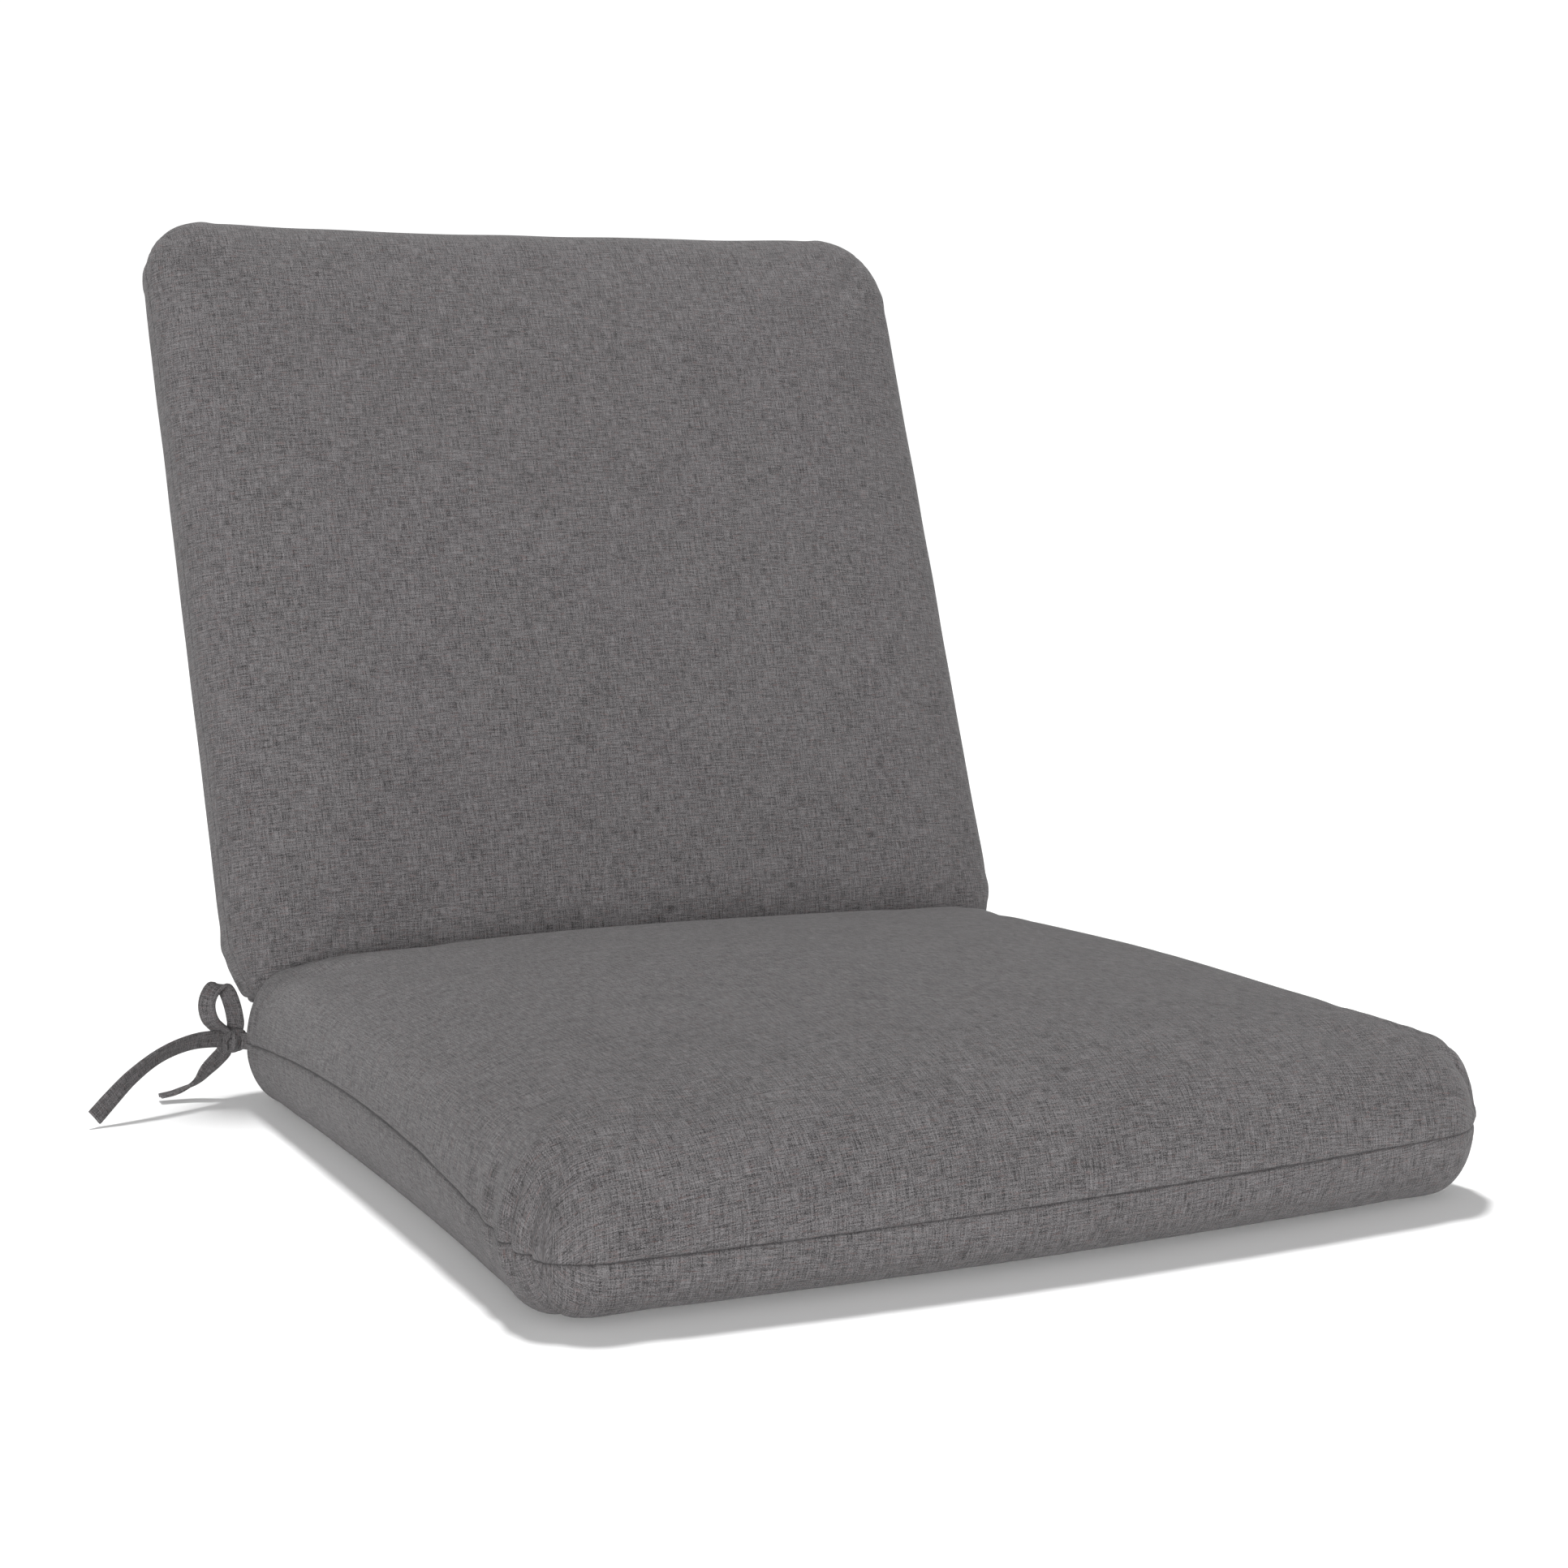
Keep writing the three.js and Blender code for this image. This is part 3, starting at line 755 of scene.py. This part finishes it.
def makePad(pad, nodes):
    slim = dict(pad)
    for face in ("top", "low"):
        slim[face + "Rise"] *= pad["slack"]
    xs, ys, arc = padGrid(pad, padMesh["edgeStep"], padMesh["edgeBand"], padMesh["middleStep"])
    rng = np.random.default_rng(pad["seed"])
    dip = gathers(pad, xs, ys, arc, rng)
    wave = puckers(xs, ys, arc, rng)
    shifts = None
    coarseX, coarseY, _ = padGrid(pad, padMesh["clothStep"], padMesh["clothBand"], padMesh["clothMiddle"])
    coarseX, coarseY = (np.delete(line, [1, 2, 3, -4, -3, -2]) for line in (coarseX, coarseY))
    shifts = inflate(pad, *(padSurface(slim, coarseX, coarseY, upper) for upper in (True, False)))
    toX, toY = curveWeights(coarseX, xs), curveWeights(coarseY, ys)
    faces = []
    groove = seam["depth"] * np.exp(-(arc / seam["width"]) ** 2)
    groove = groove + seam["pull"] * np.exp(-(arc / seam["pullWidth"]) ** 2)
    for upper in (True, False):
        points = padSurface(slim, xs, ys, upper)
        if shifts is not None:
            moves = shifts[0] if upper else shifts[1] * pad["lowEase"]
            points = points + np.einsum("ia,jb,abk->ijk", toX, toY, moves)
        outward = surfaceNormals(points) * (1 if upper else -1)
        # the lower face is held flat by what it lies on, so its folds fade sooner
        ease = wave if upper else wave * pad["lowEase"]
        held = dip if upper else dip * np.exp(-(arc / seam["lowFoldReach"]) ** 2)
        faces.append(points + outward * (ease - held - groove)[..., None])
    top, low = faces
    rim = rimOf(*arc.shape)
    top[rim] = low[rim] = (top[rim] + low[rim]) / 2
    if pad is seatPad:  # nothing goes through the floor
        low[..., 2] = np.maximum(low[..., 2], -(seatSeamHeight - floorGap))
    points, quads = closedGrid(top, low)
    made = meshObject(pad["name"], placed(points, pad), quads, padCanvas)
    # the weave has its own place on each face
    nx, ny = arc.shape
    uvTop = np.stack([lengthsAlong(top, 0), lengthsAlong(top, 1)], -1).reshape(-1, 2)
    uvLow = np.stack([lengthsAlong(low, 0), lengthsAlong(low, 1)], -1).reshape(-1, 2) + lowWeaveShift
    grid = np.concatenate([np.arange(nx * ny), np.arange(nx * ny)[~rim.ravel()]])
    corner = loopVertices(made.data)
    upperLoops = (nx - 1) * (ny - 1) * 4
    setCloth(made.data, np.concatenate([uvTop[grid[corner[:upperLoops]]], uvLow[grid[corner[upperLoops:]]]]))
    # painted shade along the seam, kept on the mesh as the seamShade attribute
    shade = np.exp(-(arc / seam["shadeWidth"]) ** 2).ravel()
    setSeamShade(made.data, shade[grid])
    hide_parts(*nodes)
    sitOn(made, pad)
    print(pad["name"], len(quads) * 2, "triangles")
    return made


filling = dict(tuck=0.003, step=0.007, band=0.02, middle=0.02)


def makeFilling(pad, name, inset, material, nodes):
    slim = dict(pad, **{key: pad[key] + filling["tuck"] for key in ("sidePull", "hingeTaper")})
    xs, ys, _ = padGrid(pad, filling["step"], filling["band"], filling["middle"])
    points, quads = closedGrid(*(padSurface(slim, xs, ys, upper, inset) for upper in (True, False)))
    made = meshObject(name, placed(points, pad), quads, material)
    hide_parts(*nodes)
    sitOn(made, pad)


seatCushion = makePad(seatPad, ["seat_cover_top", "seat_cover_bottom"])
backCushion = makePad(backPad, ["back_cover_front", "back_cover_rear"])
makeFilling(seatPad, "seatFibreWrap", 0.0075, wrapMaterial,
            ["seat_fibre_wrap_top", "seat_fibre_wrap_bottom"])
makeFilling(backPad, "backFibreWrap", 0.007, wrapMaterial,
            ["back_fibre_wrap_front", "back_fibre_wrap_rear"])
makeFilling(seatPad, "seatFoamCore", 0.016, foamMaterial, ["seat_foam_core"])
makeFilling(backPad, "backFoamCore", 0.012, foamMaterial, ["back_foam_core"])


# hinge: a doubled canvas strip between the pads, sewn with a row of stitches on each side of its fold

hinge = dict(reach=0.245, thickness=0.0016, ripple=0.00022, rippleRate=(30, 130), ripples=5,
             columns=160, profileSteps=28, seed=5, weaveShift=(2.1, 0.4),
             stitchLength=0.0028, stitchGap=0.0012, stitchThickness=0.00032, stitchSeed=11,
             rows=(0.30, 0.72))  # where the stitch rows run across the strip
# the strip's section from the seat to the back: y, z
hingeLine = [(0.2470, 0.0868), (0.2515, 0.0852), (0.2560, 0.0838), (0.2600, 0.0840), (0.2640, 0.0862),
             (0.2660, 0.0905)]


def stitchTree():
    # stitches along a path: one small rounded thread for each stitch, set along the seam
    tree = bpy.data.node_groups.new("stitches", "GeometryNodeTree")
    for name, kind in (("Path", "Geometry"), ("Stitch", "Float"), ("Gap", "Float"), ("Thickness", "Float"),
                       ("Seed", "Int")):
        tree.interface.new_socket(name, in_out="INPUT", socket_type="NodeSocket" + kind)
    tree.interface.new_socket("Stitches", in_out="OUTPUT", socket_type="NodeSocketGeometry")
    add, join = tree.nodes.new, tree.links.new
    given = add("NodeGroupInput")
    pitch = add("ShaderNodeMath")
    join(given.outputs["Stitch"], pitch.inputs[0])
    join(given.outputs["Gap"], pitch.inputs[1])
    toCurve = add("GeometryNodeMeshToCurve")
    join(given.outputs["Path"], toCurve.inputs[0])
    resample = add("GeometryNodeResampleCurve")
    resample.mode = "LENGTH"
    join(toCurve.outputs[0], resample.inputs["Curve"])
    join(pitch.outputs[0], resample.inputs["Length"])
    tangent = add("GeometryNodeInputTangent")
    align = add("FunctionNodeAlignRotationToVector")
    align.axis = "Z"
    join(tangent.outputs[0], align.inputs["Vector"])
    thread = add("GeometryNodeMeshCylinder")
    thread.inputs["Vertices"].default_value = 6
    thread.inputs["Side Segments"].default_value = 3
    join(given.outputs["Stitch"], thread.inputs["Depth"])
    join(given.outputs["Thickness"], thread.inputs["Radius"])
    vary = add("FunctionNodeRandomValue")
    vary.data_type = "FLOAT"
    vary.inputs[2].default_value = 0.88
    vary.inputs[3].default_value = 1.06
    join(given.outputs["Seed"], vary.inputs["Seed"])
    place = add("GeometryNodeInstanceOnPoints")
    join(resample.outputs[0], place.inputs["Points"])
    join(thread.outputs["Mesh"], place.inputs["Instance"])
    join(align.outputs[0], place.inputs["Rotation"])
    join(vary.outputs[1], place.inputs["Scale"])
    realize = add("GeometryNodeRealizeInstances")
    join(place.outputs[0], realize.inputs[0])
    paint = add("GeometryNodeSetMaterial")
    paint.inputs["Material"].default_value = threadMaterial
    join(realize.outputs[0], paint.inputs[0])
    result = add("NodeGroupOutput")
    join(paint.outputs[0], result.inputs[0])
    return tree


def stitchRow(name, path, tree, seed):
    line = bpy.data.meshes.new(name)
    line.from_pydata([tuple(p) for p in path], [(i, i + 1) for i in range(len(path) - 1)], [])
    made = bpy.data.objects.new(name, line)
    scene.collection.objects.link(made)
    rows = made.modifiers.new("stitches", "NODES")
    rows.node_group = tree
    sockets = {item.name: item.identifier for item in tree.interface.items_tree if item.in_out == "INPUT"}
    for label, value in (("Stitch", hinge["stitchLength"]), ("Gap", hinge["stitchGap"]),
                         ("Thickness", hinge["stitchThickness"]), ("Seed", seed)):
        rows[sockets[label]] = value
    return bakeModifiers(made, name)


def bendAtHinge(piece):
    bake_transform(piece)


def makeHinge():
    profile, _ = smoothPath([(0, y, z) for y, z in hingeLine], hinge["profileSteps"])
    across = np.gradient(profile, axis=0)
    normal = np.stack([np.zeros(len(profile)), -across[:, 2], across[:, 1]], 1)
    normal /= np.linalg.norm(normal, axis=1, keepdims=True)
    columns = np.linspace(-hinge["reach"], hinge["reach"], hinge["columns"])
    rng = np.random.default_rng(hinge["seed"])
    ripples = (np.sin(columns * rng.uniform(*hinge["rippleRate"]) + rng.uniform(0, 6))
               for _ in range(hinge["ripples"]))
    ripple = sum(ripples) * hinge["ripple"]
    half = hinge["thickness"] / 2
    sheets = []
    for face in (1, -1):
        sheetPoints = profile[None] + normal[None] * (ripple[:, None, None] + face * half)
        sheetPoints[..., 0] = columns[:, None]
        sheets.append(sheetPoints)
    rim = rimOf(*sheets[0].shape[:2])
    for sheetPoints in sheets:
        sheetPoints[rim] = (sheets[0][rim] + sheets[1][rim]) / 2
    points, quads = closedGrid(*sheets)
    strip = meshObject("hingeStrip", points, quads, hingeCanvas)
    corner = loopVertices(strip.data)
    setCloth(strip.data, points[corner][:, :2] + hinge["weaveShift"])
    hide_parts("hinge_fold", "hinge_strip_seat", "hinge_strip_back")
    bendAtHinge(strip)
    tree = stitchTree()
    for index, share in enumerate(hinge["rows"]):
        row = int(share * (len(profile) - 1))
        path = sheets[0][:, row] + normal[row] * 0.0001
        stitches = stitchRow(f"hingeStitches{index + 1}", path[3:-3], tree, hinge["stitchSeed"] + index)
        bendAtHinge(stitches)
    print("hinge strip and stitches made")


makeHinge()


# floor and light

def makeStudio():
    size = studio["floorSize"] / 2
    floor = meshObject("floor", [(-size, -size, 0), (size, -size, 0), (size, size, 0), (-size, size, 0)],
                       [(0, 1, 2, 3)], bpy.data.materials.new("floorPaint"))
    floor.data.materials[0].use_nodes = True
    surface = floor.data.materials[0].node_tree.nodes["Principled BSDF"]
    surface.inputs["Base Color"].default_value = (*studio["floorColour"], 1)
    surface.inputs["Roughness"].default_value = studio["floorRoughness"]
    surface.inputs["Specular IOR Level"].default_value = studio["floorShine"]
    world = bpy.data.worlds.new("studio")  # white at the horizon, dimmer overhead
    world.use_nodes = True
    height = Wire(world.node_tree).make("ShaderNodeTexCoord").parts()[2]
    sky = height.spread(studio["skyFrom"], studio["skyTo"])
    sky = sky * (studio["skyLight"] - studio["horizonLight"]) + studio["horizonLight"]
    plug(sky, world.node_tree.nodes["Background"], "Strength")
    world.node_tree.nodes["Background"].inputs["Color"].default_value = (1, 1, 1, 1)
    scene.world = world
    for name in ("key", "front"):
        lamp = bpy.data.lights.new(name, "SUN")
        lamp.energy = studio[name + "Power"]
        lamp.angle = math.radians(studio[name + "Softness"])
        light = bpy.data.objects.new(name, lamp)
        light.rotation_euler = Vector(studio[name + "From"]).to_track_quat("Z", "Y").to_euler()
        scene.collection.objects.link(light)
    scene.view_settings.view_transform = "Standard"


makeStudio()
print("studio made")
